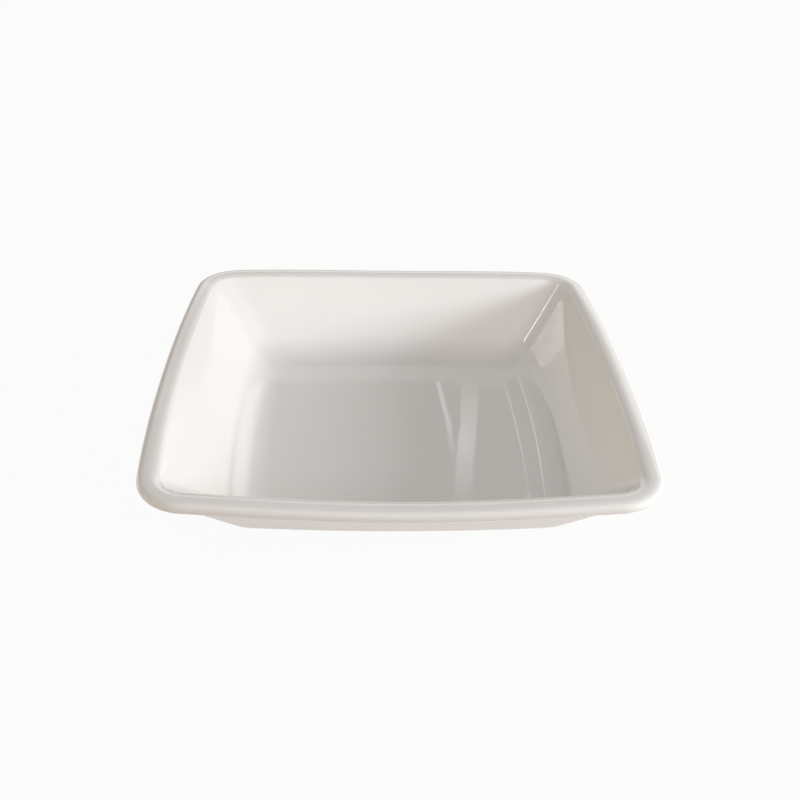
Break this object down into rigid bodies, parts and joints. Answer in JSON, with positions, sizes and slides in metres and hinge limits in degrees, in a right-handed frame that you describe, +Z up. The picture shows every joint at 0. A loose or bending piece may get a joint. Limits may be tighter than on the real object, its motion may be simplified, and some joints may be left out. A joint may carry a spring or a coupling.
{
  "type": "square deep plate",
  "caption": "Square deep plate of white glazed porcelain with gently bowed sides, a rolled rim, sloping walls, a flat floor and a low foot ring, for serving food.",
  "frame": {"origin": "centre of the foot ring's standing face, on the table", "axes": "+Z up out of the plate; the plate's sides run along X and Y"},
  "size_m": [0.19, 0.19, 0.041],
  "materials": {
    "porcelain": "bare fired porcelain, matt and fine-grained",
    "glaze": "clear gloss glaze over a white body"
  },
  "bodies": {
    "root": {"porcelain_body": "porcelain", "glaze_coat": "glaze", "base_glaze": "glaze"}
  },
  "joints": []
}
